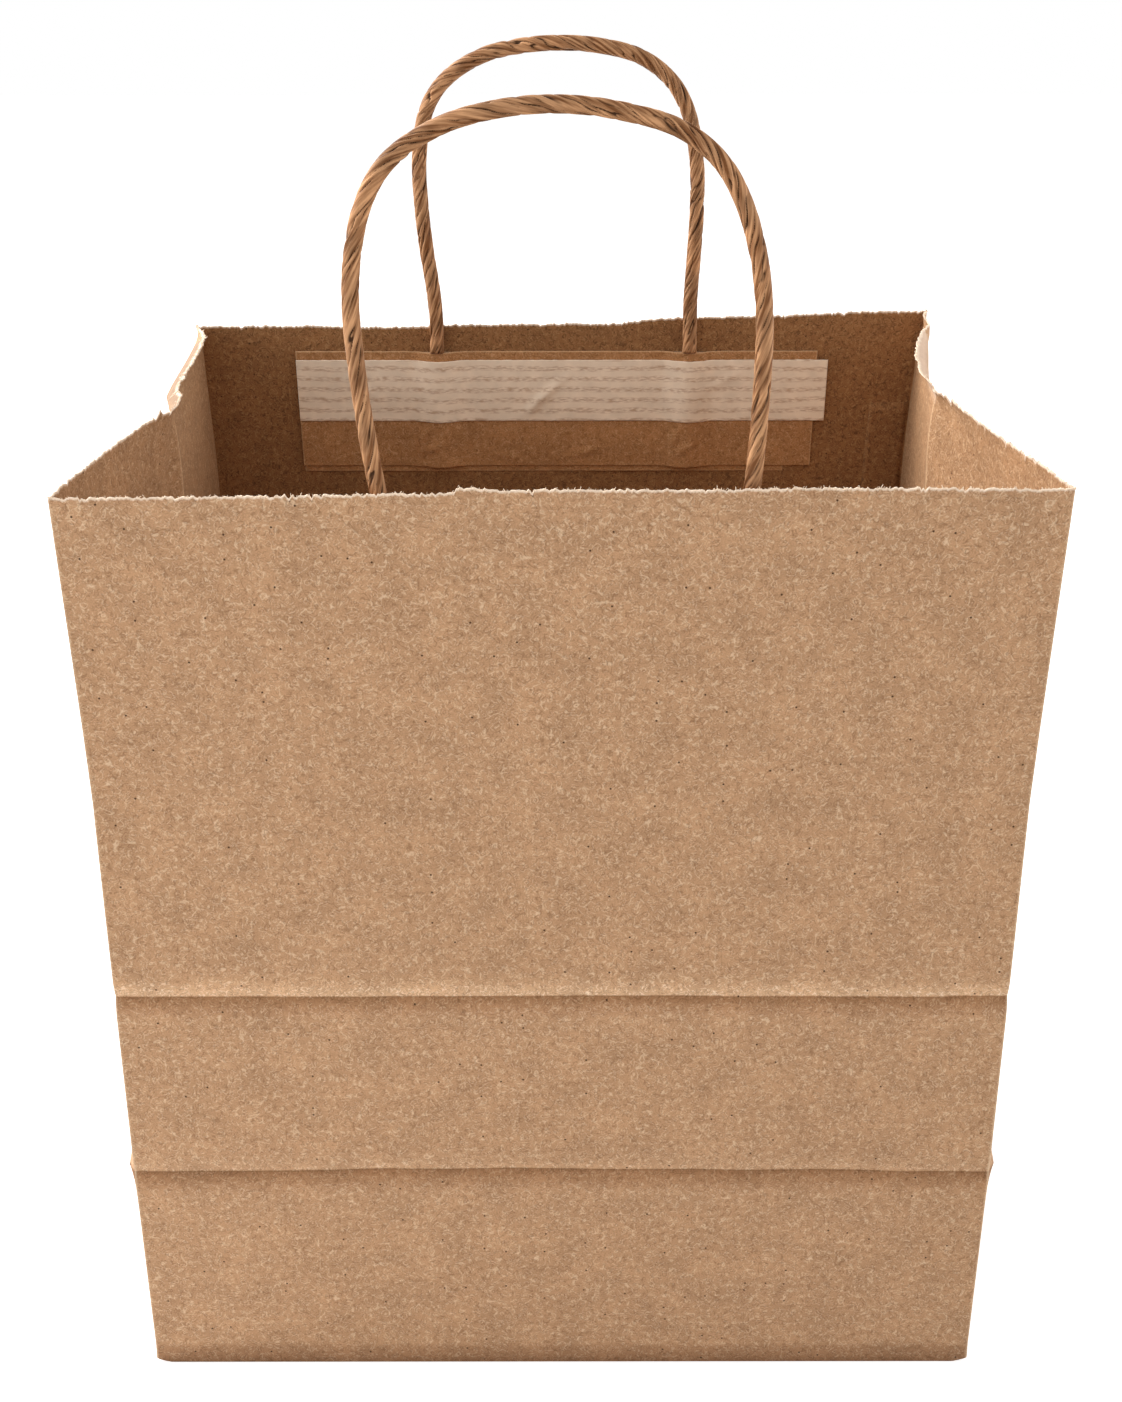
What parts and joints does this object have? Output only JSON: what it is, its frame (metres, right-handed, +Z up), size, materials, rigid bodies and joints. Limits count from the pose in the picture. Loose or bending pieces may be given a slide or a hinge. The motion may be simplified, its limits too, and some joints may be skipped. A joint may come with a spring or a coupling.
{
  "type": "paper takeaway bag",
  "caption": "Brown kraft paper carrier bag standing open, with a block bottom, creased side gussets, a saw-toothed rim and twisted paper cord handles glued inside under paper patches.",
  "frame": {"origin": "middle of the base's underside, on the surface that the bag stands on", "axes": "+Z up, -Y out of the front wall, which has the two pressed folds, +X to the right of someone who faces the front"},
  "size_m": [0.2732, 0.1879, 0.411],
  "materials": {
    "kraft_sheet": "matt brown kraft paper with fine fibres",
    "paper_cord": "twisted kraft paper cord",
    "kraft_patch": "smooth brown kraft paper",
    "white_tape": "thin off-white paper tape, glue marks showing through"
  },
  "bodies": {
    "root": {"bag_body": "kraft_sheet", "front_cord": "paper_cord", "rear_cord": "paper_cord", "front_patch_back": "kraft_patch", "front_patch_cover": "kraft_patch", "front_patch_tape": "white_tape", "rear_patch_back": "kraft_patch", "rear_patch_cover": "kraft_patch", "rear_patch_tape": "white_tape"}
  },
  "joints": []
}
